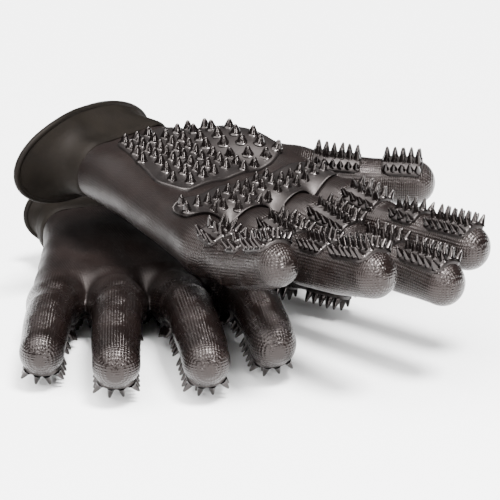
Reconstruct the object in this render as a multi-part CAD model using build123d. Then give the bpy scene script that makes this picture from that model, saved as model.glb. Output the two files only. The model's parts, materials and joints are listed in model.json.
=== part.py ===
"""A pair of rubber pet-grooming gloves, left glove lying palm up across the back of the right one.

Each glove is a dipped rubber hand with a short flared cuff, a rolled hem, a knit liner inside the hand, and
moulded nub pads on the palm and on every bone of every digit. The rubber skin of each digit is cut at its two
bending creases, so that every crease can be a hinge. All lengths are millimetres, all angles degrees.

Glove frame: +X from the wrist to the fingers, +Y to the thumb side of the left glove, +Z out of the palm.
Assembly frame: +Z up, origin on the ground under the middle of the pair.
"""

from build123d import *
import math
import os

# --- rubber and liner ---------------------------------------------------------------------------------------
WALL = 1.8              # rubber with its bonded knit backing
LINER = 0.7             # loose knit layer inside the hand
LINER_LENGTH = 84
FIT = 0.12              # gap between bonded layers
PAD = 1.4               # thickness of a moulded pad's base

# --- nubs ---------------------------------------------------------------------------------------------------
NUB_SINK = 0.5          # how deep a nub's foot is merged into its pad
NUB_TIP_R = 0.45
FINGER_NUB = (1.65, 5.0)    # foot radius, height
PALM_NUB = (1.8, 4.8)
HEEL_NUB = (2.3, 4.6)
FINGER_PITCH = 4.2
COLUMNS = 4             # rows of nubs running along a digit
PALM_PITCH = 5.4
HEEL_PITCH = 8.6
PAD_EDGE = 2.2          # from a pad's edge to its outer nubs
PAD_HALF_ARC = 52       # a digit pad wraps this far each way round the digit
PAD_CORNER = 3.5

# --- hand: x, middle y, width, depth, turn of the section about Z --------------------------------------------
HAND_SECTIONS = (
    (0, 0, 62, 24, 0),
    (32, 2, 77, 24, -1),
    (70, -3, 96, 23.5, -4),
    (104, -9, 110, 23, -8),
)
HAND_CORNER = 10.5
DIGIT_DEPTH = 11.5      # digit centre lines lie this far below the palm face

# --- cuff: x, extra half width and half depth over the wrist section, share of the mouth's offset ---------------
CUFF_SECTIONS = ((6, 3.1, 1.2, 0), (-2, 2.2, 1.4, 0), (-8, 5.6, 3.8, 0.42), (-14.5, 13, 9, 1))
CUFF_WALL = 1.5
HEM_LENGTH = 3.4
HEM_LIP = 1.1           # the hem stands this far proud of the cuff, inside and out

# --- digits: root x, root y, lengths of the bones, radius at the root, radius at the tip ----------------------
DIGITS = {
    "index": (116, 31, (29, 23, 33), 11.3, 10.4),
    "middle": (118, 2, (32, 26, 34), 11.3, 10.4),
    "ring": (114, -27, (30, 24, 33), 11.3, 10.4),
    "little": (102, -54, (24, 19, 26), 10.9, 9.8),
    "thumb": (74, 48, (38, 32), 11.3, 11.0),
}
THUMB_ROLL = 30         # the thumb's pad side is rolled towards the fingers
STUB = 24               # how far a digit's root runs back into the hand
BULGE = 0.08            # the ball at a digit's crease and tip stands this far out of the bone
TIP_COVER = 0.4         # the tip pad reaches this share of the tip's radius over the round end
OVERRUN = 7             # digit tubes are made longer by this before their ends are cut to the hinges

# --- hinges ---------------------------------------------------------------------------------------------------
PIVOT_RISE = 2.0        # hinge axis, from the digit's centre line towards the palm
HINGE_GAP = 0.25        # each cut face stays this far from the hinge plane
SPARE = 2.0             # extra opening past the hinge's limits, in degrees
BEND_TO = 45            # furthest bend between two bones, towards the palm
THUMB_BEND_TO = 25      # the same at the thumb's root
THUMB_STOP = 16         # the thumb's root stops here, before its first pad meets the palm
EXTEND = 3              # furthest bend back from rest: the gloves lie on each other
PAD_GAP = 5.4           # pads stay this far from a hinge along the digit
THUMB_GAP = 8.8         # the thumb's first pad starts this far from its root
BONE_GAP = 3.2          # and this far from the crease between the two end bones

# --- palm pads: outlines on the palm face ---------------------------------------------------------------------
HEEL_PAD = ((12, -16), (58, -38), (72, -34), (80, 24), (64, 38), (30, 34), (13, 24))
PALM_PAD = ((79, -52), (89, 36), (98, 40), (107, 38), (109, 6), (106, -26), (97, -46), (92, -56))
PAD_ROUND = 4

# --- poses at rest --------------------------------------------------------------------------------------------
# side is 1 for the left glove and -1 for the right one; yaw, pitch and roll turn the glove frame;
# mouth is how far the cuff's soft mouth is pushed across and up from the wrist;
# each digit has its splay, the bend at its root crease and the bend at its middle crease
GLOVES = {
    "left": {
        "side": 1, "place": (-65, 201, 79), "yaw": -37.8, "pitch": 7.2, "roll": 2.4, "mouth": (-8, 0),
        "digits": {"index": (-6, 0, 6), "middle": (-9, -2, 5), "ring": (-16, 3, 10), "little": (-21, 5, 15),
                   "thumb": (33, 1, 4)},
    },
    "right": {
        "side": -1, "place": (-78, 238.5, 8), "yaw": -68.6, "pitch": 1.8, "roll": 180, "mouth": (-10, -5),
        "digits": {"index": (-8, -21, 24), "middle": (-11, -16, 18), "ring": (-18, -16, 18),
                   "little": (-21, -11, 14), "thumb": (37, -7, 8)},
    },
}
END_SHARE = 0.5         # the bend between the two end bones, as a share of the middle crease's bend


def unit(v):
    return v * (1 / v.length)


def glove_plane(glove):
    """The plane that carries a glove from its own frame into the assembly."""
    turn = Location(glove["place"], (0, 0, glove["yaw"])) * Location((0, 0, 0), (0, glove["pitch"], 0))
    return Plane(turn * Location((0, 0, 0), (glove["roll"], 0, 0)))


def digit_frames(name, glove):
    """Planes down a digit: the hand's own at the root, then one for each bone; x along it, z out of its pad side."""
    side = glove["side"]
    x, y, bones = DIGITS[name][:3]
    splay, root_bend, middle_bend = glove["digits"][name]
    heading = math.radians(splay)
    flat = Vector(math.cos(heading), side * math.sin(heading), 0)
    roll = math.radians(THUMB_ROLL if name == "thumb" else 0)
    up = Vector(0, -side * math.sin(roll), math.cos(roll))
    up = unit(up - flat * up.dot(flat))
    frames = [Plane(origin=(x, side * y, -DIGIT_DEPTH), x_dir=flat, z_dir=up)]
    angle = 0
    for k, bend in enumerate((root_bend, middle_bend, middle_bend * END_SHARE)[:len(bones)]):
        angle += math.radians(bend)
        along = flat * math.cos(angle) + up * math.sin(angle)
        out = up * math.cos(angle) - flat * math.sin(angle)
        start = frames[-1].origin + frames[-1].x_dir * (bones[k - 1] if k else 0)
        rise = PIVOT_RISE if k < 2 else 0
        start = start + frames[-1].z_dir * rise - out * rise
        frames.append(Plane(origin=start, x_dir=along, z_dir=out))
    return frames


def radii(name):
    """The digit's radius at each of its joints and at its tip."""
    _, _, bones, root_r, tip_r = DIGITS[name]
    shares = [sum(bones[:k]) / sum(bones) for k in range(len(bones))]
    return [root_r + (tip_r - root_r) * share for share in shares] + [tip_r]


def across(length, r0, r1):
    """A round bar along +X from x = 0."""
    start = Plane(origin=(0, 0, 0), z_dir=(1, 0, 0), x_dir=(0, 1, 0))
    if abs(r0 - r1) < 1e-6:
        return Solid.make_cylinder(r0, length, start)
    return Solid.make_cone(r0, r1, length, start)


def tube_bar(length, r0, r1, before, after):
    """A tapered bar from -before to length + after, with radius r0 at 0 and r1 at length."""
    slope = (r1 - r0) / length
    return Pos(-before, 0, 0) * across(length + before + after, r0 - slope * before, r1 + slope * after)


def keep_before(palm_angle, back_angle, half_width):
    """A block that keeps what lies behind a hinge: its two faces lean back from the hinge plane."""
    reach, far = 40, 150
    profile = Polyline(
        (-HINGE_GAP, 0),
        (-HINGE_GAP - reach * math.tan(math.radians(palm_angle)), reach),
        (-far, reach),
        (-far, -reach),
        (-HINGE_GAP - reach * math.tan(math.radians(back_angle)), -reach),
        close=True,
    )
    side_view = Plane(origin=(0, half_width, PIVOT_RISE), x_dir=(1, 0, 0), z_dir=(0, -1, 0))
    return extrude(side_view * make_face(profile), amount=2 * half_width)


def keep_after(palm_angle, back_angle, half_width):
    return mirror(keep_before(palm_angle, back_angle, half_width), about=Plane.YZ)


def bend_to(name, hinge):
    """The furthest bend at a digit's root (hinge 0) or middle (hinge 1)."""
    return THUMB_BEND_TO if (name, hinge) == ("thumb", 0) else BEND_TO


def cut_angles(name, glove, hinge):
    """How far each face at a hinge leans back from it, on the palm side and on the back."""
    rest = glove["digits"][name][1 + hinge]
    return (bend_to(name, hinge) + SPARE) / 2, (EXTEND + SPARE - rest) / 2


def hand_face(section, side, shrink):
    x, y, width, depth, turn = section
    a = math.radians(turn) * side
    front = shrink if section is HAND_SECTIONS[-1] else 0
    plane = Plane(
        origin=(x - front, y * side, -depth / 2), x_dir=(-math.sin(a), math.cos(a), 0),
        z_dir=(math.cos(a), math.sin(a), 0),
    )
    return plane * RectangleRounded(width - 2 * shrink, depth - 2 * shrink, HAND_CORNER - shrink)


def hand_body(side, shrink):
    return loft([hand_face(s, side, shrink) for s in HAND_SECTIONS])


def root_bar(name, glove, shrink):
    """The stretch of a digit that runs back into the hand from its root crease."""
    r = radii(name)[0] - shrink
    return digit_frames(name, glove)[0].location * tube_bar(1, r, r, STUB, OVERRUN - 1)


def hand_shell(glove):
    side = glove["side"]
    outer = hand_body(side, 0)
    inner = hand_body(side, WALL)
    for name in DIGITS:
        outer = outer + root_bar(name, glove, 0)
        inner = inner + root_bar(name, glove, WALL)
    shell = outer - inner
    for name in DIGITS:
        r = radii(name)[0]
        ahead = Pos(OVERRUN, 0, 0) * Box(6 * OVERRUN, 2 * (r + PAD) + 1.2, 3 * r)
        gone = ahead - keep_before(*cut_angles(name, glove, 0), r + 5)
        shell = shell - digit_frames(name, glove)[0].location * gone
    return biggest(shell)


def biggest(shape):
    """The largest solid of a cut, without any crumbs."""
    return max(shape.solids(), key=lambda s: s.volume)


def base_shell(name, glove):
    """The rubber round a digit's first bone, in that bone's own frame."""
    bone = DIGITS[name][2][0]
    r0, r1 = radii(name)[:2]
    tube = tube_bar(bone, r0, r1, OVERRUN, OVERRUN)
    tube = tube - tube_bar(bone, r0 - WALL, r1 - WALL, OVERRUN + 1, OVERRUN + 1)
    tube = tube & keep_after(*cut_angles(name, glove, 0), 2 * r0)
    tube = tube & (Pos(bone, 0, 0) * keep_before(*cut_angles(name, glove, 1), 2 * r0))
    return biggest(tube)


def end_bar(name, glove, shrink):
    """The solid round a digit's end bones, in the frame of the second bone."""
    bones = DIGITS[name][2]
    r = [x - shrink for x in radii(name)]
    frames = digit_frames(name, glove)[1:]
    first = frames[1].location.inverse()
    bar = None
    for k in range(1, len(bones)):
        length = bone_length(name, k)
        back = OVERRUN + (1 if shrink else 0) if k == 1 else 0
        piece = tube_bar(length, r[k], r[k + 1], back, 0)
        piece = piece + Pos(length, 0, 0) * Sphere(r[k + 1] + BULGE)
        piece = (first * frames[k].location) * piece
        bar = piece if bar is None else bar + piece
    return bar


def bone_length(name, bone):
    """From a bone's start to the next one, or to the centre of the round tip."""
    bones, _, tip_r = DIGITS[name][2:]
    return bones[bone] - (tip_r if bone == len(bones) - 1 else 0)


def end_shell(name, glove):
    shell = end_bar(name, glove, 0) - end_bar(name, glove, WALL)
    shell = shell & keep_after(*cut_angles(name, glove, 1), 60)
    return biggest(shell)


def nub(size):
    """A blunt cone standing on z = 0, with its foot a little below."""
    foot_r, height = size
    return Pos(0, 0, -NUB_SINK) * Solid.make_cone(foot_r, NUB_TIP_R, height + NUB_SINK)


def rows(length, pitch):
    """Evenly spaced places over a length, centred on it, close to pitch apart."""
    steps = max(1, round(length / pitch))
    return [(i / steps - 0.5) * length for i in range(steps + 1)]


def digit_pad(name, bone, start, end):
    """A pad wrapped round the palm side of one bone from start to end, with its nubs, in the bone's frame."""
    r0, r1 = radii(name)[bone:bone + 2]
    slope = (r1 - r0) / bone_length(name, bone)
    outer = Pos(start, 0, 0) * across(end - start, *(r0 + slope * x + FIT + PAD for x in (start, end)))
    inner = Pos(start - 1, 0, 0) * across(end - start + 2, *(r0 + slope * x + FIT for x in (start - 1, end + 1)))
    width = 2 * (r1 + PAD) * math.sin(math.radians(PAD_HALF_ARC))
    middle = (start + end) / 2
    block = Pos(middle, 0, 0) * extrude(RectangleRounded(end - start, width, PAD_CORNER), amount=2 * r0)
    nubs = []
    for x in rows(end - start - 2 * PAD_EDGE, FINGER_PITCH):
        r = r0 + slope * (middle + x) + FIT + PAD
        half = math.degrees(math.asin((width / 2 - PAD_EDGE) / r))
        for column in range(COLUMNS):
            turn = Rot(half * (2 * column / (COLUMNS - 1) - 1), 0, 0)
            nubs.append(turn * Pos(middle + x, 0, r) * nub(FINGER_NUB))
    return biggest(((outer - inner) & block) + nubs)


def digit_pads(name):
    """A digit's pads as (name of the pad, number of its bone, solid)."""
    bones, _, tip_r = DIGITS[name][2:]
    names = ("base", "tip") if name == "thumb" else ("base", "middle", "tip")
    found = []
    for k, bone in enumerate(bones):
        start = (PAD_GAP, PAD_GAP, BONE_GAP)[k]
        if name == "thumb" and k == 0:
            start = THUMB_GAP
        end = bone - (PAD_GAP if k == 0 else BONE_GAP)
        if k == len(bones) - 1:
            end = bone_length(name, k) + TIP_COVER * tip_r
        found.append((names[k], k, digit_pad(name, k, start, end)))
    return found


def inside(point, outline, margin):
    """Whether a point lies within a convex-ish outline, at least margin from its edges."""
    x, y = point
    within = False
    nearest = 1e9
    for (x0, y0), (x1, y1) in zip(outline, outline[1:] + outline[:1]):
        if (y0 > y) != (y1 > y) and x < (x1 - x0) * (y - y0) / (y1 - y0) + x0:
            within = not within
        along = ((x - x0) * (x1 - x0) + (y - y0) * (y1 - y0)) / ((x1 - x0) ** 2 + (y1 - y0) ** 2)
        along = min(1, max(0, along))
        nearest = min(nearest, math.hypot(x - x0 - along * (x1 - x0), y - y0 - along * (y1 - y0)))
    return within and nearest >= margin


def palm_plate(outline, pitch, size, side):
    """A flat pad on the palm face with staggered nubs."""
    edge = Polyline(*[(x, side * y) for x, y in outline], close=True)
    face = make_face(edge)
    face = fillet(face.vertices(), PAD_ROUND)
    plate = Pos(0, 0, FIT) * extrude(face, amount=PAD, dir=(0, 0, 1))
    xs = [p[0] for p in outline]
    ys = [p[1] for p in outline]
    nubs = []
    row = 0
    x = min(xs) + PAD_EDGE + 0.6
    while x < max(xs):
        y = min(ys) + (pitch / 2 if row % 2 else 0)
        while y < max(ys):
            if inside((x, y), outline, PAD_EDGE):
                nubs.append(Pos(x, side * y, FIT + PAD) * nub(size))
            y += pitch
        x += pitch * 0.87
        row += 1
    return biggest(plate + nubs)


def cuff_face(section, mouth, grow):
    x, extra_width, extra_depth, share = section
    across, rise = mouth
    _, _, width, depth, _ = HAND_SECTIONS[0]
    plane = Plane(origin=(x, across * share, rise * share - depth / 2), x_dir=(0, 1, 0), z_dir=(1, 0, 0))
    corner = HAND_CORNER + extra_depth + grow
    return plane * RectangleRounded(width + 2 * (extra_width + grow), depth + 2 * (extra_depth + grow), corner)


def cuff(mouth):
    """The flared cuff, with its front end as a sleeve over the wrist."""
    outer = loft([cuff_face(s, mouth, CUFF_WALL) for s in CUFF_SECTIONS])
    inner = loft([cuff_face(s, mouth, 0) for s in CUFF_SECTIONS])
    return biggest(outer - inner)


def hem(mouth):
    """The rolled bead round the mouth of the cuff."""
    end = CUFF_SECTIONS[-1]
    outer = extrude(cuff_face(end, mouth, CUFF_WALL + HEM_LIP), amount=-HEM_LENGTH)
    inner = extrude(cuff_face(end, mouth, -HEM_LIP), amount=-HEM_LENGTH)
    ring = outer - inner
    return biggest(fillet(ring.edges(), 1.1))


def knit_liner(side):
    """A thin open sleeve against the inside of the hand."""
    outer = hand_body(side, WALL + FIT)
    inner = hand_body(side, WALL + FIT + LINER)
    sleeve = outer - inner
    sleeve = sleeve & Pos(44, 0, -DIGIT_DEPTH) * Box(LINER_LENGTH, 200, 60)
    x, y = DIGITS["thumb"][:2]
    thumb_way = Pos(x + 8, side * y, -DIGIT_DEPTH) * Box(80, 56, 60)
    return biggest(sleeve - thumb_way)


def build():
    """Every node's solid and every joint, in the assembly frame before it is centred."""
    nodes = {}
    bodies = {}
    joints = []
    for side_name, glove in GLOVES.items():
        side = glove["side"]
        carry = glove_plane(glove).location
        tag = side_name + "_"
        hand = {
            "hand_shell": hand_shell(glove),
            "knit_liner": knit_liner(side),
            "cuff": cuff(glove["mouth"]),
            "cuff_hem": hem(glove["mouth"]),
            "heel_pad": palm_plate(HEEL_PAD, HEEL_PITCH, HEEL_NUB, side),
            "palm_pad": palm_plate(PALM_PAD, PALM_PITCH, PALM_NUB, side),
        }
        bodies[tag + "hand"] = [tag + n for n in hand]
        nodes.update({tag + n: carry * s for n, s in hand.items()})
        for name in DIGITS:
            bones = [carry * frame.location for frame in digit_frames(name, glove)[1:]]
            base, end = tag + name + "_base", tag + name + "_end"
            nodes[base + "_shell"] = bones[0] * base_shell(name, glove)
            nodes[end + "_shell"] = bones[1] * end_shell(name, glove)
            bodies[base], bodies[end] = [base + "_shell"], [end + "_shell"]
            for pad_name, k, pad in digit_pads(name):
                node = f"{tag}{name}_{pad_name}_pad"
                nodes[node] = bones[k] * pad
                bodies[base if k == 0 else end].append(node)
            for k, joint, parent, child in (
                (0, "_root", tag + "hand", base),
                (1, "_middle", base, end),
            ):
                hinge = Plane(bones[k] * Location((0, 0, PIVOT_RISE)))
                rest = glove["digits"][name][1 + k]
                joints.append({
                    "name": tag + name + joint, "parent": parent, "child": child,
                    "pos": hinge.origin, "axis": hinge.x_dir.cross(hinge.z_dir),
                    "range": (-EXTEND, (THUMB_STOP if name == "thumb" and k == 0 else bend_to(name, k)) - rest),
                })
    return nodes, bodies, joints


def centring(nodes):
    """The shift that puts the origin on the ground under the middle of the pair."""
    boxes = [s.bounding_box() for s in nodes.values()]
    low = [min(tuple(b.min)[i] for b in boxes) for i in range(3)]
    high = [max(tuple(b.max)[i] for b in boxes) for i in range(3)]
    return Vector(-(low[0] + high[0]) / 2, -(low[1] + high[1]) / 2, -low[2])


def main():
    nodes, _, _ = build()
    shift = centring(nodes)
    os.makedirs("parts", exist_ok=True)
    for name, solid in nodes.items():
        export_step(Pos(shift) * solid, f"parts/{name}.step")
    print("nodes", len(nodes), "shift", shift)


if __name__ == "__main__":
    main()
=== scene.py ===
"""A pair of rubber pet-grooming gloves, the left one lying palm up across the back of the right one.

Each glove's skin is one smooth surface round the bones of the hand, cut into pieces at the creases.
Pads, cuff, hem and liner are pieces of their own. Lengths are millimetres and angles are
degrees in the glove's own frame (+X wrist to fingers, +Y to the left glove's thumb side, +Z out of the
palm) until `Glove.place` carries them into the row frame in metres.
"""

import json
import math

import bmesh
import bpy
import numpy as np
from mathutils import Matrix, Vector

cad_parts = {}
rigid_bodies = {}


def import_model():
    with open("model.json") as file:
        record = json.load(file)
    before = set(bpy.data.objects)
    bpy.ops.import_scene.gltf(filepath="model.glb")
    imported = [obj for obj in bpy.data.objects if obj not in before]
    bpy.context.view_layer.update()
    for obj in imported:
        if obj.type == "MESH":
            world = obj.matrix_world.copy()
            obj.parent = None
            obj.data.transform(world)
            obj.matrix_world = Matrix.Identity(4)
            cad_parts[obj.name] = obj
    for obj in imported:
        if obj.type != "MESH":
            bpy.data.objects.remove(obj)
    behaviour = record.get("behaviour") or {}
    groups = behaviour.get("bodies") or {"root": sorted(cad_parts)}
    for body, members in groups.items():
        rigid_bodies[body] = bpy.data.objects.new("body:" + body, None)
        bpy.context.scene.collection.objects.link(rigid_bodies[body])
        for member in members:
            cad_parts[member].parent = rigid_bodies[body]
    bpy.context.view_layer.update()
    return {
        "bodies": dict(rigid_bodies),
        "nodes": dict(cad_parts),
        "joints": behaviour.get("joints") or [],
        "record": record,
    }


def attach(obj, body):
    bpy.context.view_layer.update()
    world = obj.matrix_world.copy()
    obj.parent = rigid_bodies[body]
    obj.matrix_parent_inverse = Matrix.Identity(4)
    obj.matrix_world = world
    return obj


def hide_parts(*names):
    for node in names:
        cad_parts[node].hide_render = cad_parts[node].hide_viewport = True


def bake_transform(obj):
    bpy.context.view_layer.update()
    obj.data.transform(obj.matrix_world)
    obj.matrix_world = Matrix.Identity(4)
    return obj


# --- hand: x, middle y, width, depth --------------------------------------------------------------
HAND_SECTIONS = ((0, 0, 62, 24), (32, 2, 77, 24), (70, -3, 96, 23.5), (104, -9, 110, 23))
HAND_CORNER = 10.5
# soft mounds of the palm, as a middle and half sizes: the lower glove lies flat on its palm
PALM_MOUNDS = {
    "left": ((55, 31, -5, 28, 17, 13.5), (34, -22, -12, 34, 13, 12.5)),
    "right": (),
}
FRONT_SLANT = 0.14          # the knuckle line runs forward towards the thumb side by this much per mm
DIGIT_DEPTH = 11.5          # from the palm's face to the digits' centre lines
# a bar runs from the heel of the hand to each digit's root and fills out the palm
HEEL_X, HEEL_Z = 10, -12.3
HEEL_SPREAD = 0.38          # the bars start this share of their digit's y from the middle
THUMB_HEEL_Y = 14
HEEL_BAR_R = 11.4
ROOT_SWELL = 0.2            # at the root a bar is this much thicker than its digit
THUMB_SWELL = 1.0
# root x, root y, lengths of the bones, radius at the root, radius at the tip
DIGITS = {
    "index": (116, 31, (29, 23, 33), 11.3, 10.4),
    "middle": (118, 2, (32, 26, 34), 11.3, 10.4),
    "ring": (114, -27, (30, 24, 33), 11.3, 10.4),
    "little": (102, -54, (24, 19, 26), 10.9, 9.8),
    "thumb": (74, 48, (38, 32), 11.3, 11.0),
}
THUMB_ROLL = 30             # the thumb's bending side is turned this much from the palm's
PIVOT_RISE = 2.0            # the creases' axes lie this far from the centre line, towards the pads
END_SHARE = 0.5             # the third crease bends by this share of the second
# side, way across and up to the cuff's mouth, each digit's splay and bends at its two creases
GLOVES = {
    "left": (1, (-8, 0), {
        "index": (-6, 0, 6),
        "middle": (-9, -2, 5),
        "ring": (-16, 3, 10),
        "little": (-21, 5, 15),
        "thumb": (33, 1, 4),
    }),
    "right": (-1, (-10, -5), {
        "index": (-8, -21, 24),
        "middle": (-11, -16, 18),
        "ring": (-18, -16, 18),
        "little": (-21, -11, 14),
        "thumb": (37, -7, 8),
    }),
}

# --- skin -----------------------------------------------------------------------------------------
GRID = 1.3                  # grid of the skin's field
FIELD_LOW, FIELD_HIGH = (-4, -100, -42), (222, 100, 62)
FAR = 1e9                   # further than anything in the field
HEEL_JOIN = 6               # softness of the joins between the palm and its bars
MOUND_JOIN = 7
DIGIT_JOIN = 4.0            # between digits
PALM_JOIN = 9.0             # and from digits into the palm
RIPPLE = 0.22               # unevenness of the dipped rubber
SKIN_START = -2             # the skin ends here, inside the cuff
DIGIT_REACH = 5             # skin this near a digit's bones belongs to the digit
BLEND = 8.0                 # a digit's skin reaches back this much, and 1 more, behind its root
KNIT_PALM = 0.25            # how plainly the knit shows on the palm
KNIT_START, KNIT_FADE = -9, 22      # where it starts to show more along a digit, and over what length

# --- pads and nubs --------------------------------------------------------------------------------
PAD = 1.4                   # thickness
PAD_SINK = 1.0              # depth of a pad's edge in the skin
PAD_HALF_ARC = 52
PAD_CORNER = 3.5
PAD_EDGE = 2.2              # from a pad's edge to its outer nubs
# a pad's rounded edge: distance in from the outline, height over the skin
RIM = (0, 0.12, 0.55, 1.3)
RIM_RISE = (-PAD_SINK, PAD * 0.55, PAD * 0.93, PAD)
PLATE_STEP = 1.6            # spacing of a plate's points
PLATE_RINGS = 12            # between the rim of a pad on the palm and its middle
PLATE_CORNER = 4.0          # how far back its corners are rounded
MAX_WRAP = 0.97             # the sine of the furthest turn of a pad round its bone
PAD_GAP = 5.4               # from a crease to the next pad
THUMB_GAP = 8.8
THUMB_PAD_TURN = -22        # from the thumb's bending side to its pads, away from the fingers
BONE_GAP = 3.2              # from the unmoving third crease to the pads by it
TIP_COVER = 0.4             # the last pad covers this share of the tip's radius
FINGER_NUB = (1.65, 5.0)    # foot radius, height
PALM_NUB = (2.0, 4.6)
HEEL_NUB = (2.5, 4.5)
FINGER_PITCH = 4.2
COLUMNS = 4                 # rows of nubs along a finger
PALM_PITCH = 7.2
HEEL_PITCH = 8.6
ROW_SHARE = 0.87            # rows of staggered nubs are this share of the pitch apart
FIRST_ROW = 0.6             # and the first lies this much further in than the edge allows
NUB_SIDES = 14
NUB_WIDTHS, NUB_HEIGHTS = (0.95, 1.05), (0.93, 1.04)        # random shares of a nub's size
NUB_LEAN = 0.035            # and its random lean
# share of the foot radius, share of the height
NUB_PROFILE = ((1.32, -0.06), (1.12, 0.0), (1.0, 0.06), (0.90, 0.2), (0.74, 0.44), (0.53, 0.7),
               (0.37, 0.88), (0.24, 0.96), (0.1, 0.995))
HEEL_PAD = ((12, -16), (58, -38), (72, -34), (80, 22), (75, 37), (32, 36), (13, 24))
PALM_PAD = ((79, -52), (89, 36), (98, 40), (107, 38), (109, 6), (106, -26), (97, -46), (92, -56))

# --- cuff: x, extra half width and half depth over the wrist, share of the mouth's offset ---------
CUFF_SECTIONS = ((6, 1.6, 0.9, 0), (2, 1.7, 1.1, 0), (-3, 2.2, 1.6, 0.06), (-7, 4.0, 2.9, 0.28),
                 (-10.5, 7.0, 4.9, 0.56), (-13.5, 11.2, 7.6, 0.86), (-15.4, 14.4, 9.6, 1))
CUFF_WALL = 1.5
CUFF_RINGS, CUFF_SIDES = 30, 160
MOUTH_ELLIPSE = 0.85        # the mouth is this far from a rounded rectangle to an ellipse
MOUTH_WAVE = 0.9            # how wavy the mouth is
HEM_R = 1.7
HEM_SIDES = 14
HEM_BACK = 0.6              # the bead lies this far behind the cuff's edge
LINER_START, LINER_END = -5, 58
LINER_INSET = 2.2           # from the skin's outer face to the liner
LINER_FLARE = ((LINER_START, 3.6), (0, 1.2), (8, 0))        # x, extra half width
LINER_RINGS, LINER_SIDES = 50, 480
LINER_CORNER = 2.4          # the liner's corners are this much tighter than the hand's
LINER_RIB = 2.4             # width of a rib
LINER_RIB_RISE = 0.22

# --- looks: the darkest and lightest colour of each material, linear ------------------------------
WARM = (1.0, 0.9, 0.87, 1.0)        # the rubber's reflections are a little brown
SKIN_COLOURS = (0.0022, 0.00125, 0.0011), (0.0050, 0.0030, 0.0026)
NUB_COLOURS = (0.0014, 0.0009, 0.0009), (0.0026, 0.0017, 0.0016)
CUFF_COLOURS = (0.0026, 0.0020, 0.0014), (0.0044, 0.0034, 0.0023)
HEM_COLOURS = (0.0024, 0.0019, 0.0014), (0.0040, 0.0031, 0.0022)
LINER_COLOURS = (0.012, 0.0105, 0.0095), (0.05, 0.044, 0.040)
FLOOR_COLOUR = (0.93, 0.93, 0.93, 1)
KNIT_COLUMN, KNIT_COURSE = 1.25, 1.05       # width and length of a loop of the knit

# --- stage, in metres -----------------------------------------------------------------------------
FLOOR_HALF = 6.0
WORLD_STRENGTH = 0.2
# name, way the light shines, strength, angle
SUNS = (("overhead", (-0.25, 0.28, -1), 12, 18), ("fill", (0.45, 0.35, -1), 9, 70))
# name, place, aim, size, power
AREAS = (
    ("key", (0.45, -0.75, 0.35), (0.05, 0, 0.05), (0.15, 0.22), 8),
    ("front", (-0.25, -0.95, 0.32), (-0.05, 0, 0.04), (0.15, 0.22), 6),
)
CAMERA_TARGET = (0.0049, -0.1559, 0.0843)
CAMERA_DISTANCE = 0.7007
CAMERA_ELEVATION = 17.7
CAMERA_LENS = 129.7


# ==================================================================================================
# geometry of a glove
# ==================================================================================================

UP = np.array([0, 0, 1.0])


def unit(v):
    return v / np.linalg.norm(v)


def unit_rows(v):
    return v / np.linalg.norm(v, axis=1, keepdims=True)


def digit_frames(name, side, angles):
    """(origin, along, out) of a digit's root in the hand and then of each bone."""
    x, y, bones = DIGITS[name][:3]
    splay, root_bend, middle_bend = angles
    heading = math.radians(splay)
    flat = np.array([math.cos(heading), side * math.sin(heading), 0])
    roll = math.radians(THUMB_ROLL if name == "thumb" else 0)
    up = np.array([0, -side * math.sin(roll), math.cos(roll)])
    up = unit(up - flat * up.dot(flat))
    frames = [(np.array([x, side * y, -DIGIT_DEPTH], float), flat, up)]
    angle = 0
    for k, bend in enumerate((root_bend, middle_bend, middle_bend * END_SHARE)[:len(bones)]):
        angle += math.radians(bend)
        along = flat * math.cos(angle) + up * math.sin(angle)
        out = up * math.cos(angle) - flat * math.sin(angle)
        origin, last_along, last_out = frames[-1]
        rise = PIVOT_RISE if k < 2 else 0
        start = origin + last_along * (bones[k - 1] if k else 0) + last_out * rise - out * rise
        frames.append((start, along, out))
    return frames


def radii(name):
    """The digit's radius at each of its joints and at its tip."""
    _, _, bones, root_r, tip_r = DIGITS[name]
    shares = [sum(bones[:k]) / sum(bones) for k in range(len(bones))]
    return [root_r + (tip_r - root_r) * share for share in shares] + [tip_r]


def bone_length(name, bone):
    """From a bone's joint to the next joint or to the centre of the tip."""
    bones, _, tip_r = DIGITS[name][2:]
    return bones[bone] - (tip_r if bone == len(bones) - 1 else 0)


def soft_min(a, b, k):
    """The smaller of two fields, joined softly over about k."""
    h = np.clip(0.5 + 0.5 * (b - a) / k, 0, 1)
    return b + (a - b) * h - k * h * (1 - h)


def bar_field(p, a, b, ra, rb):
    """Distance to a round bar from a to b whose radius goes from ra to rb."""
    ba = b - a
    t = np.clip((p - a) @ ba / ba.dot(ba), 0, 1)
    return np.linalg.norm(p - a - t[:, None] * ba, axis=1) - (ra + (rb - ra) * t)


def ripple(p):
    """A slow unevenness over the glove, from -1 to 1."""
    x, y, z = p[:, 0], p[:, 1], p[:, 2]
    return np.sin(x * 0.21 + 1.3 * np.sin(y * 0.13)) * np.sin(y * 0.17 + 0.11 * z)


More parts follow.
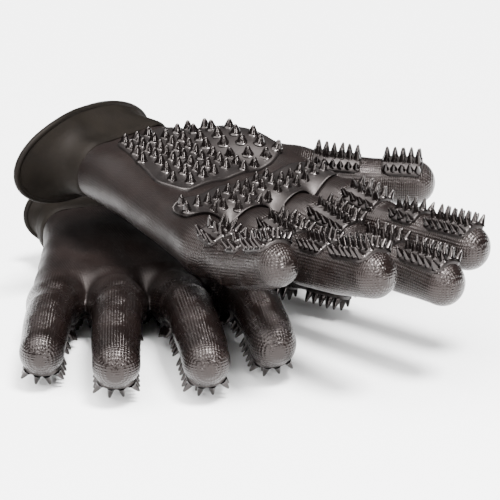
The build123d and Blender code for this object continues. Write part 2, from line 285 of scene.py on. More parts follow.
class Glove:
    """The field, frames and placing of one glove."""

    def __init__(self, name, record):
        self.name = name
        self.side, self.mouth, self.angles = GLOVES[name]
        self.frames = {d: digit_frames(d, self.side, self.angles[d]) for d in DIGITS}
        mounts = {m["name"]: m for m in record["mounts"]}
        self.x = -unit(np.array(mounts[name + "_wrist"]["axis"], float))
        self.z = unit(np.array(mounts[name + "_palm"]["axis"], float))
        self.y = np.cross(self.z, self.x)
        middle = np.array([0, 0, -HAND_SECTIONS[0][3] / 2]) / 1000
        self.origin = np.array(mounts[name + "_wrist"]["pos_m"], float) - self.turn(middle)

    def turn(self, v):
        """Directions in the glove's frame to the row frame."""
        v = np.asarray(v, float)
        return v[..., 0:1] * self.x + v[..., 1:2] * self.y + v[..., 2:3] * self.z

    def place(self, points):
        """Points in the glove's frame, in mm, to the row frame in metres."""
        return self.turn(np.asarray(points, float) / 1000) + self.origin

    def chain(self, name):
        """A digit's centre line from its root in the hand to the centre of its tip."""
        frames = self.frames[name]
        last, along, _ = frames[-1]
        return [f[0] for f in frames[1:]] + [last + along * bone_length(name, len(frames) - 2)]

    def digit_field(self, p, name):
        points = self.chain(name)
        r = radii(name)
        found = np.full(len(p), FAR)
        for a, b, ra, rb in zip(points, points[1:], r, r[1:]):
            found = np.minimum(found, bar_field(p, a, b, ra, rb))
        return found

    def palm_field(self, p):
        xs, ys, widths, depths = (np.array(column, float) for column in zip(*HAND_SECTIONS))
        x, y, z = p[:, 0], p[:, 1] * self.side, p[:, 2]
        depth = np.interp(x, xs, depths)
        qx = x - (xs[-1] + FRONT_SLANT * (y - ys[-1])) + HAND_CORNER
        qy = np.abs(y - np.interp(x, xs, ys)) - np.interp(x, xs, widths) / 2 + HAND_CORNER
        qz = np.abs(z + depth / 2) - depth / 2 + HAND_CORNER
        q = np.stack([qx, qy, qz], axis=1)
        return np.linalg.norm(np.maximum(q, 0), axis=1) + np.minimum(q.max(axis=1), 0) - HAND_CORNER

    def bar_to_root(self, p, name):
        """A bar inside the palm, from its heel to a digit's root."""
        thumb = name == "thumb"
        start_y = THUMB_HEEL_Y if thumb else DIGITS[name][1] * HEEL_SPREAD
        heel = np.array([HEEL_X, self.side * start_y, HEEL_Z])
        root_r = radii(name)[0] + (THUMB_SWELL if thumb else ROOT_SWELL)
        return bar_field(p, heel, self.frames[name][0][0], HEEL_BAR_R, root_r)

    def mound_field(self, p, mound):
        x0, y0, z0, rx, ry, rz = mound
        y = p[:, 1] * self.side
        q = np.stack([(p[:, 0] - x0) / rx, (y - y0) / ry, (p[:, 2] - z0) / rz], axis=1)
        return (np.linalg.norm(q, axis=1) - 1) * rz

    def field(self, p):
        """Distance from the glove's outer skin, negative inside."""
        palm = self.palm_field(p)
        digits = np.full(len(p), FAR)
        for name in DIGITS:
            palm = soft_min(palm, self.bar_to_root(p, name), HEEL_JOIN)
            digits = soft_min(digits, self.digit_field(p, name), DIGIT_JOIN)
        for mound in PALM_MOUNDS[self.name]:
            palm = soft_min(palm, self.mound_field(p, mound), MOUND_JOIN)
        return soft_min(palm, digits, PALM_JOIN) + RIPPLE * ripple(p)

    def slope(self, p):
        """Unit normals of the field."""
        step = 0.3
        parts = [self.field(p + step * axis) - self.field(p - step * axis) for axis in np.eye(3)]
        return unit_rows(np.stack(parts, axis=1))

    def skin_along(self, origin, direction, reach=30):
        """Where rays that start inside the glove leave it."""
        low = np.zeros(len(origin))
        high = np.full(len(origin), float(reach))
        for _ in range(16):
            t = (low + high) / 2
            within = self.field(origin + direction * t[:, None]) < 0
            low = np.where(within, t, low)
            high = np.where(within, high, t)
        return origin + direction * low[:, None]


def net_points(values):
    """Each mixed cell's number, or -1, and the middle of the surface's crossings of its edges."""
    cells = tuple(n - 1 for n in values.shape)
    corners = [(i, j, k) for i in (0, 1) for j in (0, 1) for k in (0, 1)]

    def at(offset):
        return values[tuple(slice(o, o + n) for o, n in zip(offset, cells))]

    inside = sum((at(c) < 0).astype(np.int8) for c in corners)
    mixed = (inside > 0) & (inside < len(corners))
    number = np.full(cells, -1)
    number[mixed] = np.arange(mixed.sum())
    base = np.argwhere(mixed).astype(float)
    total = np.zeros_like(base)
    count = np.zeros(len(base))
    edges = [(c, axis) for c in corners for axis in range(3) if not c[axis]]
    for c, axis in edges:
        d = tuple(1 if a == axis else v for a, v in enumerate(c))
        v0, v1 = at(c)[mixed], at(d)[mixed]
        crosses = (v0 < 0) != (v1 < 0)
        t = np.where(crosses, v0 / np.where(crosses, v0 - v1, 1), 0)
        point = np.array(c, float) + t[:, None] * np.eye(3)[axis]
        total += np.where(crosses[:, None], point, 0)
        count += crosses
    return number, base + total / count[:, None]


def net_quads(values, number, axis):
    """A quad round every grid edge along an axis that the surface crosses, facing out of the inside."""
    u, v = (axis + 1) % 3, (axis + 2) % 3
    ahead = [slice(1, n) for n in number.shape]
    ahead[axis] = slice(0, number.shape[axis])
    start = values[tuple(ahead)]
    ahead[axis] = slice(1, number.shape[axis] + 1)
    end = values[tuple(ahead)]
    edges = np.argwhere((start < 0) != (end < 0))
    from_inside = (start < 0)[tuple(edges.T)]
    place = edges + 1
    place[:, axis] -= 1
    ring = []
    for du, dv in ((-1, -1), (0, -1), (0, 0), (-1, 0)):
        cell = place.copy()
        cell[:, u] += du
        cell[:, v] += dv
        ring.append(number[tuple(cell.T)])
    ring = np.stack(ring, axis=1)
    ring[~from_inside] = ring[~from_inside][:, ::-1]
    return ring


def surface_net(values, origin, step):
    """Vertices and quads of the zero surface of a grid of field values."""
    number, places = net_points(values)
    quads = np.concatenate([net_quads(values, number, axis) for axis in range(3)])
    return origin + step * places, quads[(quads >= 0).all(axis=1)]


# ==================================================================================================
# meshes
# ==================================================================================================

def link_object(name, data):
    obj = bpy.data.objects.new(name, data)
    bpy.context.scene.collection.objects.link(obj)
    return obj


def add_mesh(name, points, faces, material, normals=None):
    """A smooth-shaded mesh object with points in the row frame."""
    mesh = bpy.data.meshes.new(name)
    mesh.from_pydata([tuple(p) for p in points], [], [tuple(int(i) for i in f) for f in faces])
    mesh.validate()
    mesh.shade_smooth()
    if normals is not None:
        mesh.normals_split_custom_set_from_vertices([tuple(n) for n in normals])
    obj = link_object(name, mesh)
    mesh.materials.append(material)
    return obj


def add_vectors(obj, name, values):
    layer = obj.data.attributes.new(name, "FLOAT_VECTOR", "POINT")
    layer.data.foreach_set("vector", np.asarray(values, np.float32).ravel())


def tube_faces(rings, sides, closed=False):
    """Quads between rings of points that each go once round."""
    faces = []
    for i in range(rings if closed else rings - 1):
        for j in range(sides):
            k = (j + 1) % sides
            n = (i + 1) % rings
            faces.append((i * sides + j, i * sides + k, n * sides + k, n * sides + j))
    return faces


def in_frame(points, frame):
    """Points as distances along, across and out of a bone's frame."""
    origin, along, out = frame
    across = np.cross(out, along)
    q = points - origin
    return np.stack([q @ along, q @ across, q @ out], axis=1)


def skin_surface(glove):
    """Points and quads of the whole skin, pulled onto the field's surface."""
    step = GRID
    low, high = np.array(FIELD_LOW, float), np.array(FIELD_HIGH, float)
    shape = np.ceil((high - low) / step).astype(int)
    axes = [low[i] + step * np.arange(shape[i]) for i in range(3)]
    values = np.empty(shape, np.float32)
    for i, x in enumerate(axes[0]):
        y, z = np.meshgrid(axes[1], axes[2], indexing="ij")
        slab = np.stack([np.full(y.size, x), y.ravel(), z.ravel()], axis=1)
        values[i] = glove.field(slab).reshape(y.shape)
    points, quads = surface_net(values, low, step)
    for _ in range(2):
        points = points - glove.field(points)[:, None] * glove.slope(points)
    return points, quads


def split_skin(glove, points, quads):
    """Each quad's piece: 0 for the hand, 1 + 2 d for digit d's root and 2 + 2 d for its end."""
    middle = points[quads].mean(axis=1)
    owner = np.zeros(len(quads), int)
    nearest = np.full(len(quads), FAR)
    for d, name in enumerate(DIGITS):
        root, base = glove.frames[name][0], glove.frames[name][1]
        far = glove.digit_field(middle, name)
        ahead = in_frame(middle, root)[:, 0] > -BLEND - 1
        mine = ahead & (far < nearest) & (far < DIGIT_REACH)
        nearest = np.where(mine, far, nearest)
        half = in_frame(middle, base)[:, 0] > DIGITS[name][2][0] / 2
        owner = np.where(mine, 1 + 2 * d + half, owner)
    return owner


def build_skin(glove, material):
    """The skin in 11 pieces: the hand, and the root and the end of every digit."""
    points, quads = skin_surface(glove)
    normals = glove.slope(points)
    quads = quads[(points[quads][:, :, 0] > SKIN_START).all(axis=1)]
    owner = split_skin(glove, points, quads)
    names = list(DIGITS)
    for piece in range(1 + 2 * len(names)):
        mine = quads[owner == piece]
        used, local = np.unique(mine, return_inverse=True)
        faces = local.reshape(mine.shape)
        digit = names[(piece - 1) // 2] if piece else None
        part = "hand" if not piece else digit + ("_root" if piece % 2 else "_end")
        obj = add_mesh(f"{glove.name}_{part}_skin", glove.place(points[used]), faces, material,
                       glove.turn(normals[used]))
        add_knit(obj, glove, digit, points[used], normals[used])
        attach_skin(obj, glove, digit, piece)


def add_knit(obj, glove, digit, points, normals):
    """Stores where the knit's loops lie, how plainly they show, and how squarely the skin faces out."""
    frame = (np.zeros(3), np.array([1.0, 0, 0]), np.array([0, 0, 1.0]))
    show = np.full(len(points), KNIT_PALM)
    if digit:
        frame = glove.frames[digit][2 if obj.name.endswith("_end_skin") else 1]
        along = in_frame(points, glove.frames[digit][0])[:, 0]
        show = np.clip(KNIT_PALM + (along - KNIT_START) / KNIT_FADE, KNIT_PALM, 1)
    add_vectors(obj, "knit_place", in_frame(points, frame))
    _, across, out = in_frame(normals, (np.zeros(3), *frame[1:])).T
    facing = out ** 2 / (across ** 2 + out ** 2 + 1e-6)
    add_vectors(obj, "knit_show", np.stack([show, facing, np.zeros(len(show))], axis=1))


def attach_skin(obj, glove, digit, piece):
    """Puts the hand's piece of skin on the hand's body; a digit's piece stays fixed where it is, on no
    body.
    """
    hand = glove.name + "_hand"
    if not piece:
        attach(obj, hand)
        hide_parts(glove.name + "_hand_shell")
        return
    base, end = f"{glove.name}_{digit}_base", f"{glove.name}_{digit}_end"
    bone = 1 if piece % 2 else 2
    origin, along, _ = glove.frames[digit][bone]
    direction = unit(along + glove.frames[digit][bone - 1][1])
    start, finish = (tuple(glove.place(origin + direction * d)) for d in (-BLEND, BLEND))
    if bone == 1:
        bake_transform(obj)
        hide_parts(base + "_shell")
    else:
        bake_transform(obj)
        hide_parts(end + "_shell")


# --- pads -----------------------------------------------------------------------------------------

def nub_mesh(foot, out, size, rng):
    """Points and faces of a blunt cone at foot along out, a little uneven."""
    radius, height = size[0] * rng.uniform(*NUB_WIDTHS), size[1] * rng.uniform(*NUB_HEIGHTS)
    out = unit(out + rng.normal(0, NUB_LEAN, 3))
    side = unit(np.cross(out, [0.3, 0.9, 0.1]))
    other = np.cross(out, side)
    turns = np.arange(NUB_SIDES) * 2 * math.pi / NUB_SIDES
    points = []
    for share_r, share_h in NUB_PROFILE:
        ring = radius * share_r * (np.cos(turns)[:, None] * side + np.sin(turns)[:, None] * other)
        points.append(foot + ring + out * height * share_h)
    points.append(foot[None] + out * height)
    faces = tube_faces(len(NUB_PROFILE), NUB_SIDES)
    top = (len(NUB_PROFILE) - 1) * NUB_SIDES
    faces += [(top + j, top + (j + 1) % NUB_SIDES, top + NUB_SIDES) for j in range(NUB_SIDES)]
    return np.concatenate(points), faces


def edge_steps(length):
    """Places across a pad, close together at its edges."""
    inner = np.linspace(RIM[-1], length - RIM[-1], max(3, int(length / PLATE_STEP)))
    return np.concatenate([RIM[:-1], inner, [length - step for step in RIM[-2::-1]]])


def pad_height(distance):
    """How far a pad's surface stands over the skin, by the distance from the pad's edge."""
    return np.interp(distance, RIM, RIM_RISE)


def grid_faces(rows, columns):
    return [(i * columns + j, i * columns + j + 1, (i + 1) * columns + j + 1, (i + 1) * columns + j)
            for i in range(rows - 1) for j in range(columns - 1)]


def pad_frame(glove, name, bone):
    """A bone's frame, turned so that out runs to the middle of its pad."""
    origin, along, out = glove.frames[name][bone + 1]
    if name == "thumb":
        turn = math.radians(THUMB_PAD_TURN) * glove.side
        out = out * math.cos(turn) - np.cross(out, along) * math.sin(turn)
    return origin, along, out


def wrap(glove, frame, along_by, across_by, r):
    """Places on the skin round a bone, by the way along it and round it, and their ways out."""
    origin, along, out = frame
    turn = np.arcsin(np.clip(across_by / r, -MAX_WRAP, MAX_WRAP))
    radial = np.sin(turn)[:, None] * np.cross(out, along) + np.cos(turn)[:, None] * out
    return glove.skin_along(origin + np.outer(along_by, along), radial), radial


def digit_pad(glove, name, bone, start, end, rng):
    """Points, faces and plate's point count of a pad wrapped round the palm side of a bone."""
    frame = pad_frame(glove, name, bone)
    r0, r1 = radii(name)[bone:bone + 2]
    slope = (r1 - r0) / bone_length(name, bone)
    width = 2 * (r1 + PAD) * math.sin(math.radians(PAD_HALF_ARC))
    length = end - start
    u, v = edge_steps(length), edge_steps(width)
    s, w = (a.ravel() for a in np.meshgrid(u, v, indexing="ij"))
    to_end = np.minimum(s, length - s)
    corner = np.clip(PAD_CORNER - to_end, 0, PAD_CORNER)
    inset = PAD_CORNER - np.sqrt(PAD_CORNER ** 2 - corner ** 2)
    across_by = (w - width / 2) / (width / 2) * (width / 2 - inset)
    under, radial = wrap(glove, frame, start + s, across_by, r0 + slope * (start + s) + PAD)
    rise = pad_height(np.minimum(to_end, np.minimum(w, width - w)))
    points = [under + radial * rise[:, None]]
    faces = grid_faces(len(u), len(v))
    columns = (width / 2 - PAD_EDGE) * (2 * np.arange(COLUMNS) / (COLUMNS - 1) - 1)
    for x in rows(length - 2 * PAD_EDGE, FINGER_PITCH):
        place = start + length / 2 + x
        feet, outs = wrap(glove, frame, np.full(COLUMNS, place), columns, r0 + slope * place + PAD)
        for foot, out in zip(feet, outs):
            add_part(points, faces, nub_mesh(foot + out * PAD, out, FINGER_NUB, rng))
    return np.concatenate(points), faces, len(points[0])


def add_part(points, faces, part):
    """Adds a part's points and faces to those of a piece."""
    offset = sum(len(p) for p in points)
    points.append(part[0])
    faces.extend(tuple(i + offset for i in f) for f in part[1])


def rows(length, pitch):
    """Evenly spaced places over a length, centred on it, close to pitch apart."""
    steps = max(1, round(length / pitch))
    return [(i / steps - 0.5) * length for i in range(steps + 1)]


def edge_distance(x, y, outline):
    """Distances of places from an outline, positive inside it."""
    nearest = np.full(x.shape, FAR)
    within = np.zeros(x.shape, bool)
    for (x0, y0), (x1, y1) in zip(outline, outline[1:] + outline[:1]):
        dx, dy = x1 - x0, y1 - y0
        t = np.clip(((x - x0) * dx + (y - y0) * dy) / (dx * dx + dy * dy), 0, 1)
        nearest = np.minimum(nearest, np.hypot(x - x0 - t * dx, y - y0 - t * dy))
        if dy:
            within ^= ((y0 > y) != (y1 > y)) & (x < dx * (y - y0) / dy + x0)
    return np.where(within, nearest, -nearest)


def rounded(outline, cuts=5):
    """The outline with its corners rounded by short curves."""
    points = []
    count = len(outline)
    for i, here in enumerate(outline):
        here = np.array(here, float)
        before, after = (np.array(outline[(i + d) % count], float) for d in (-1, 1))
        a = here + unit(before - here) * PLATE_CORNER
        b = here + unit(after - here) * PLATE_CORNER
        for t in np.linspace(0, 1, cuts):
            points.append(a * (1 - t) ** 2 + 2 * here * t * (1 - t) + b * t ** 2)
    return np.array(points)


def plate_rings(outline):
    """Rings of a plate that shrink from its outline to its middle, their heights, and the middle."""
    edge = resample(rounded(outline))
    centre = edge.mean(axis=0)
    rings = [edge + inward(edge) * depth for depth in RIM]
    last = rings[-1]
    shares = np.linspace(0, 1, PLATE_RINGS + 2)[1:-1]
    rings += [last + (centre - last) * share for share in shares]
    return rings, RIM_RISE + (PAD,) * len(shares), centre


def palm_skin(glove, xy):
    """The skin over places on the palm, whose y is the left glove's and is mirrored for the right."""
    start = np.stack([xy[:, 0], xy[:, 1] * glove.side, np.full(len(xy), -DIGIT_DEPTH)], axis=1)
    return glove.skin_along(start, np.tile(UP, (len(xy), 1)))


def palm_pad(glove, outline, pitch, size, rng):
    """Points, faces and plate's point count of a pad with staggered nubs on the palm."""
    rings, rises, centre = plate_rings(outline)
    sides = len(rings[0])
    heights = np.append(np.repeat(rises, sides), PAD)
    under = palm_skin(glove, np.concatenate(rings + [centre[None]]))
    points = [under + heights[:, None] * UP]
    faces = tube_faces(len(rings), sides)
    top = (len(rings) - 1) * sides
    faces += [(top + j, top + (j + 1) % sides, top + sides) for j in range(sides)]
    feet = palm_skin(glove, nub_places(outline, pitch))
    outs = 0.5 * glove.slope(feet) + 0.5 * UP
    for foot, out in zip(feet, outs):
        add_part(points, faces, nub_mesh(foot + UP * PAD, out, size, rng))
    return np.concatenate(points), faces, len(points[0])


def inward(edge):
    """Unit directions into a closed outline that runs anticlockwise."""
    run = np.roll(edge, -1, axis=0) - np.roll(edge, 1, axis=0)
    return unit_rows(np.stack([-run[:, 1], run[:, 0]], axis=1))


def resample(loop, count=None):
    """A closed loop with its points evenly spaced, about a plate's step apart unless counted."""
    ends = np.concatenate([loop, loop[:1]])
    lengths = np.concatenate([[0], np.cumsum(np.linalg.norm(np.diff(ends, axis=0), axis=1))])
    count = count or int(lengths[-1] / PLATE_STEP)
    wanted = np.linspace(0, lengths[-1], count, endpoint=False)
    return np.stack([np.interp(wanted, lengths, ends[:, i]) for i in range(2)], axis=1)


def nub_places(outline, pitch):
    """Staggered rows of nubs over an outline."""
    xs, ys = zip(*outline)
    found = []
    row = 0
    x = min(xs) + PAD_EDGE + FIRST_ROW
    while x < max(xs):
        y = np.arange(min(ys) + (pitch / 2 if row % 2 else 0), max(ys), pitch)
        keep = edge_distance(np.full(y.shape, x), y, outline) >= PAD_EDGE
        found += [(x, value) for value in y[keep]]
        x += pitch * ROW_SHARE
        row += 1
    return np.array(found)


def build_pads(glove, material, rng):
    for node, outline, pitch, size in (
        ("heel_pad", HEEL_PAD, HEEL_PITCH, HEEL_NUB),
        ("palm_pad", PALM_PAD, PALM_PITCH, PALM_NUB),
    ):
        pad = palm_pad(glove, outline, pitch, size, rng)
        finish_pad(glove, node, pad, material, glove.name + "_hand")
    for name, (_, _, bones, _, tip_r) in DIGITS.items():
        thumb = name == "thumb"
        parts = ("base", "tip") if thumb else ("base", "middle", "tip")
        for k, part in enumerate(parts):
            start = (THUMB_GAP if thumb else PAD_GAP, PAD_GAP, BONE_GAP)[k]
            end = bones[k] - (PAD_GAP if k == 0 else BONE_GAP)
            if k == len(bones) - 1:
                end = bone_length(name, k) + TIP_COVER * tip_r
            pad = digit_pad(glove, name, k, start, end, rng)
            body = f"{glove.name}_{name}_{'base' if k == 0 else 'end'}"
            finish_pad(glove, f"{name}_{part}_pad", pad, material, body)


def finish_pad(glove, node, pad, material, body):
    """Makes a pad's piece, marked with where its nubs are."""
    points, faces, plate_points = pad
    obj = add_mesh(f"{glove.name}_{node}_rubber", glove.place(points), faces, material)
    on_nub = np.arange(len(points)) >= plate_points
    add_vectors(obj, "nub_share", np.repeat(on_nub[:, None], 3, axis=1))
    recalculate(obj)
    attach(obj, body)
    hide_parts(f"{glove.name}_{node}")


def recalculate(obj):
    """Turns every face outwards."""
    mesh = bmesh.new()
    mesh.from_mesh(obj.data)
    bmesh.ops.recalc_face_normals(mesh, faces=mesh.faces)
    mesh.to_mesh(obj.data)
    mesh.free()


# --- cuff, hem and liner --------------------------------------------------------------------------

def oval(half_width, half_depth, corner, sides, ellipse=0.0):
    """Points round a rounded rectangle, or part of the way to an ellipse, evenly spaced, as (y, z)."""
    turns = np.arange(720) * 2 * math.pi / 720
    c, s = np.cos(turns), np.sin(turns)
    loop = np.stack([np.sign(c) * (half_width - corner) + corner * c,
                     np.sign(s) * (half_depth - corner) + corner * s], axis=1)
    smooth = np.stack([half_width * c, half_depth * s], axis=1)
    return resample(loop + (smooth - loop) * ellipse, sides)


def cuff_ring(glove, x, extra_width, extra_depth, share, grow):
    """Points round a section of the cuff, a little wavy towards the mouth."""
    width, depth = HAND_SECTIONS[0][2:]
    half_width = width / 2 + extra_width + grow
    half_depth = depth / 2 + extra_depth + grow
    corner = min(half_depth - 0.2, HAND_CORNER + extra_depth * 1.4 + grow)
    loop = oval(half_width, half_depth, corner, CUFF_SIDES, MOUTH_ELLIPSE * share)
    turn = np.arctan2(loop[:, 1], loop[:, 0])
    wave = MOUTH_WAVE * share * (np.sin(3 * turn + 0.6) + 0.5 * np.sin(5 * turn + 2.0))
    across, rise = (offset * share for offset in glove.mouth)
    y = loop[:, 0] * (1 + 0.01 * wave) + across
    return np.stack([x + wave, y, loop[:, 1] + rise - depth / 2 + 0.4 * wave], axis=1)


def smooth_sections(sections, count):
    """The sections joined by a smooth curve through them."""
    table = np.array(sections, float)
    t = np.arange(len(table))
    wanted = np.linspace(0, len(table) - 1, count)
    k = np.clip(wanted.astype(int), 0, len(table) - 2)
    f = (wanted - k)[:, None]
    before = table[np.clip(k - 1, 0, t[-1])]
    here, ahead = table[k], table[k + 1]
    after = table[np.clip(k + 2, 0, t[-1])]
    return 0.5 * (2 * here + (ahead - before) * f + (2 * before - 5 * here + 4 * ahead - after) * f ** 2
                  + (3 * here - before - 3 * ahead + after) * f ** 3)


def build_cuff(glove, material):
    """The cuff's outer and inner faces, its wall thinned out where it leaves the hand."""
    sections = smooth_sections(CUFF_SECTIONS, CUFF_RINGS)
    outer = [cuff_ring(glove, *s, CUFF_WALL * min(1, 0.2 + i / 4)) for i, s in enumerate(sections)]
    inner = [cuff_ring(glove, *s, 0.0) for s in sections[::-1]]
    rings = outer + inner
    obj = add_mesh(glove.name + "_cuff_rubber", glove.place(np.concatenate(rings)),
                   tube_faces(len(rings), CUFF_SIDES, closed=True), material)
    recalculate(obj)
    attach(obj, glove.name + "_hand")
    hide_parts(glove.name + "_cuff")


def build_hem(glove, material):
    """A round bead along the mouth of the cuff."""
    spine = cuff_ring(glove, *CUFF_SECTIONS[-1], CUFF_WALL / 2)
    spine[:, 0] -= HEM_BACK
    run = unit_rows(np.roll(spine, -1, axis=0) - np.roll(spine, 1, axis=0))
    back = np.array([-1.0, 0, 0])
    side = unit_rows(np.cross(run, back))
    turns = np.arange(HEM_SIDES) * 2 * math.pi / HEM_SIDES
    rings = [spine + HEM_R * (math.cos(a) * side + math.sin(a) * back) for a in turns]
    obj = add_mesh(glove.name + "_cuff_hem_bead", glove.place(np.concatenate(rings)),
                   tube_faces(len(rings), len(spine), closed=True), material)
    recalculate(obj)
    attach(obj, glove.name + "_hand")
    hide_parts(glove.name + "_cuff_hem")


def liner_ring(glove, x):
    """Points round a section of the liner, with its ribs."""
    table = np.array(HAND_SECTIONS, float).T
    middle, width, depth = (np.interp(x, table[0], column) for column in table[1:])
    flare = np.interp(x, *zip(*LINER_FLARE))
    half_width, half_depth = (size / 2 - LINER_INSET + flare for size in (width, depth))
    corner = min(HAND_CORNER - LINER_CORNER + flare, half_depth - 0.2)
    loop = oval(half_width, half_depth, corner, LINER_SIDES)
    run = loop - np.roll(loop, 3, axis=0)       # over three points, so that it is smooth
    outward = unit_rows(np.stack([run[:, 1], -run[:, 0]], axis=1))
    ribs = np.round(2 * (half_width + half_depth) / LINER_RIB)
    wave = np.sin(np.arange(LINER_SIDES) * 2 * math.pi * ribs / LINER_SIDES)
    loop = loop + LINER_RIB_RISE * wave[:, None] * outward
    y, z = loop[:, 0] + middle * glove.side, loop[:, 1] - depth / 2
    return np.stack([np.full(LINER_SIDES, x), y, z], axis=1)


def build_liner(glove, material):
    """A ribbed sleeve inside the skin of the hand, flared at its open end to meet the cuff."""
    rings = [liner_ring(glove, x) for x in np.linspace(LINER_START, LINER_END, LINER_RINGS)]
    obj = add_mesh(glove.name + "_knit_liner_sleeve", glove.place(np.concatenate(rings)),
                   tube_faces(LINER_RINGS, LINER_SIDES), material)
    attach(obj, glove.name + "_hand")
    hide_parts(glove.name + "_knit_liner")


# ==================================================================================================
# materials
# ==================================================================================================

class Shader:
    """A small helper for making node materials."""

    def __init__(self, name):
        self.material = bpy.data.materials.new(name)
        self.material.use_nodes = True
        self.tree = self.material.node_tree
        self.main = self.tree.nodes["Principled BSDF"]

    def node(self, kind, **values):
        made = self.tree.nodes.new(kind)
        for key, value in values.items():
            if key in made.inputs:
                made.inputs[key].default_value = value
            else:
                setattr(made, key, value)
        return made

    def link(self, source, target):
        self.tree.links.new(source, target)

    def set(self, **values):
        """Sets inputs of the main shader to constants or links, by their names with _ for spaces."""
        for key, value in values.items():
            socket = self.main.inputs[key.replace("_", " ")]
            if isinstance(value, bpy.types.NodeSocket):
                self.link(value, socket)
            else:
                socket.default_value = value

    def place(self):
        return self.node("ShaderNodeTexCoord").outputs["Object"]

    def attribute(self, name, output):
        return self.node("ShaderNodeAttribute", attribute_name=name).outputs[output]

    def parts(self, vector):
        made = self.node("ShaderNodeSeparateXYZ")
        self.link(vector, made.inputs[0])
        return made.outputs

    def wave(self, value, length):
        return self.math("SINE", self.math("MULTIPLY", value, 2 * math.pi / length))

    def math(self, operation, a, b=None):
        made = self.node("ShaderNodeMath", operation=operation)
        for socket, value in zip(made.inputs, (a, b)):
            if value is None:
                continue
            if isinstance(value, (int, float)):
                socket.default_value = value
            else:
                self.link(value, socket)
        return made.outputs[0]

    def noise(self, coordinates, scale, detail=4.0, rough=0.55):
        made = self.node("ShaderNodeTexNoise", Scale=scale, Detail=detail, Roughness=rough)
        self.link(coordinates, made.inputs["Vector"])
        return made.outputs["Fac"]

    def ramp(self, value, low, high, out_low, out_high):
        ends = {"From Min": low, "From Max": high, "To Min": out_low, "To Max": out_high}
        made = self.node("ShaderNodeMapRange", **ends)
        self.link(value, made.inputs["Value"])
        return made.outputs["Result"]

    def colour(self, value, colours):
        """Mixes a dark and a light colour into the base colour."""
        dark, light = colours
        made = self.node("ShaderNodeMix", data_type="RGBA")
        self.link(value, made.inputs["Factor"])
        made.inputs[6].default_value = (*dark, 1)       # 6 and 7 are its colours, 2 the mixed one
        made.inputs[7].default_value = (*light, 1)
        self.set(Base_Color=made.outputs[2])

    def bump(self, height, strength, distance, before=None):
        made = self.node("ShaderNodeBump", Strength=strength, Distance=distance)
        self.link(height, made.inputs["Height"])
        if before is not None:
            self.link(before, made.inputs["Normal"])
        return made.outputs["Normal"]


def coated_rubber():
    """Dipped rubber whose knit backing shows through as a fine grid of loops."""
    s = Shader("coated_rubber")
    place = s.attribute("knit_place", "Vector")
    along, across, out = s.parts(place)
    amount, facing, _ = s.parts(s.attribute("knit_show", "Vector"))

    columns = s.math("MULTIPLY", s.wave(across, KNIT_COLUMN), facing)
    side_columns = s.math("MULTIPLY", s.wave(out, KNIT_COLUMN), s.math("SUBTRACT", 1.0, facing))
    columns = s.math("ADD", columns, side_columns)
    courses = s.wave(along, KNIT_COURSE)
    knit = s.math("MULTIPLY", s.math("ADD", columns, 1.0), s.math("ADD", courses, 1.0))
    patches = s.noise(place, 0.07, 3)
    fine = s.noise(place, 0.9, 3)
    s.colour(s.ramp(s.noise(place, 0.05, 2), 0.35, 0.65, 0, 1), SKIN_COLOURS)

    worn = s.math("ADD", s.ramp(patches, 0.35, 0.65, -0.05, 0.07), s.ramp(fine, 0.3, 0.7, -0.04, 0.05))
    seen = s.math("MULTIPLY", amount, s.ramp(patches, 0.38, 0.62, 0.35, 1.0))
    loops = s.bump(s.math("MULTIPLY", knit, s.math("MULTIPLY", seen, 0.25)), 0.85, 0.00042)
    s.set(Roughness=s.math("ADD", worn, s.ramp(amount, KNIT_PALM, 1.0, 0.48, 0.23)),
          Specular_IOR_Level=s.ramp(amount, KNIT_PALM, 1.0, 0.2, 0.34),
          Specular_Tint=WARM,
          Normal=s.bump(fine, 0.25, 0.00035, loops))
    return s.material


def plain_rubber(name, colours, gloss, dent, shine):
    """Moulded rubber with a faint uneven sheen."""
    s = Shader(name)
    place = s.place()
    cloudy = s.noise(place, 60, 3)
    fine = s.noise(place, 1400, 3)
    s.colour(s.ramp(cloudy, 0.35, 0.65, 0, 1), colours)
    sheen = s.ramp(cloudy, 0.3, 0.7, gloss - 0.06, gloss + 0.06)
    dents = s.bump(s.noise(place, 90, 4), dent, 0.0012)
    s.set(Roughness=s.math("ADD", sheen, s.ramp(fine, 0.3, 0.7, -0.03, 0.03)),
          Specular_IOR_Level=shine,
          Specular_Tint=WARM,
          Normal=s.bump(fine, 0.3, 0.0002, dents))
    return s.material


def pad_rubber():
    """Moulded rubber, glossier on the nubs than on the plate between them."""
    s = Shader("nub_rubber")
    place = s.place()
    cloudy = s.noise(place, 60, 3)
    s.colour(s.ramp(cloudy, 0.35, 0.65, 0, 1), NUB_COLOURS)
    gloss = s.ramp(s.attribute("nub_share", "Fac"), 0, 1, 0.46, 0.17)
    s.set(Roughness=s.math("ADD", gloss, s.ramp(cloudy, 0.3, 0.7, -0.04, 0.04)),
          Specular_IOR_Level=0.42,
          Specular_Tint=WARM,
          Normal=s.bump(s.noise(place, 700, 3), 0.25, 0.0003))
    return s.material


def knit_fabric():
    """Matt fibres, for the liner."""
    s = Shader("knit_liner")
    fibres = s.noise(s.place(), 2600, 4)
    s.colour(fibres, LINER_COLOURS)
    s.set(Roughness=0.95, Sheen_Weight=0.3, Normal=s.bump(fibres, 0.6, 0.0004))
    return s.material


# ==================================================================================================
# stage
# ==================================================================================================

def point_along(obj, way):
    """Turns a light or a camera, which look down their own -Z."""
    obj.rotation_euler = Vector(way).to_track_quat("-Z", "Y").to_euler()


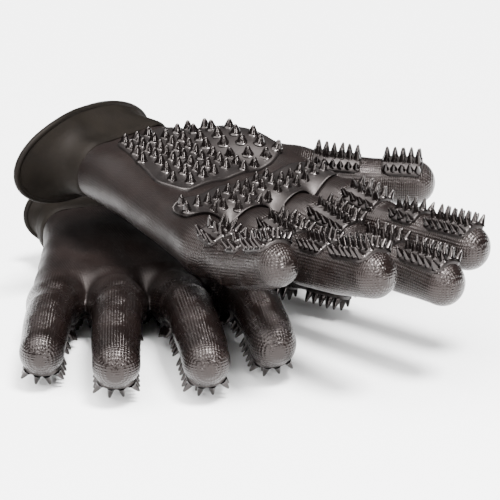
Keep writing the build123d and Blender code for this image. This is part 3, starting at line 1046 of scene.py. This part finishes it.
def build_floor():
    mesh = bpy.data.meshes.new("floor")
    corners = [(x * FLOOR_HALF, y * FLOOR_HALF, 0) for x, y in ((-1, -1), (1, -1), (1, 1), (-1, 1))]
    mesh.from_pydata(corners, [], [(0, 1, 2, 3)])
    s = Shader("floor")
    s.set(Base_Color=FLOOR_COLOUR, Roughness=0.75)
    mesh.materials.append(s.material)
    link_object("floor", mesh)


def add_sun(name, way, strength, angle):
    light = bpy.data.lights.new(name, "SUN")
    light.energy = strength
    light.angle = math.radians(angle)
    point_along(link_object(name, light), way)


def add_area(name, place, aim, size, power):
    light = bpy.data.lights.new(name, "AREA")
    light.shape = "RECTANGLE"
    light.size, light.size_y = size
    light.energy = power
    obj = link_object(name, light)
    obj.location = place
    point_along(obj, Vector(aim) - Vector(place))


def build_light():
    world = bpy.data.worlds.new("studio")
    bpy.context.scene.world = world
    world.use_nodes = True
    background = world.node_tree.nodes["Background"]
    background.inputs["Color"].default_value = (1, 1, 1, 1)
    background.inputs["Strength"].default_value = WORLD_STRENGTH
    for sun in SUNS:
        add_sun(*sun)
    for area in AREAS:
        add_area(*area)


def build_camera():
    camera = bpy.data.cameras.new("camera")
    camera.lens = CAMERA_LENS
    camera.sensor_width = 36
    camera.clip_start = 0.01
    obj = link_object("camera", camera)
    elevation = math.radians(CAMERA_ELEVATION)
    look = Vector((0, math.cos(elevation), -math.sin(elevation)))
    obj.location = Vector(CAMERA_TARGET) - look * CAMERA_DISTANCE
    point_along(obj, look)
    bpy.context.scene.camera = obj


# ==================================================================================================

def main():
    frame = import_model()
    skin = coated_rubber()
    nubs = pad_rubber()
    cuffs = plain_rubber("cuff_rubber", CUFF_COLOURS, gloss=0.62, dent=0.35, shine=0.09)
    hems = plain_rubber("hem_rubber", HEM_COLOURS, gloss=0.58, dent=0.2, shine=0.1)
    liner = knit_fabric()
    rng = np.random.default_rng(7)
    for name in GLOVES:
        glove = Glove(name, frame["record"])
        build_skin(glove, skin)
        build_pads(glove, nubs, rng)
        build_cuff(glove, cuffs)
        build_hem(glove, hems)
        build_liner(glove, liner)
    build_floor()
    build_light()
    build_camera()


main()
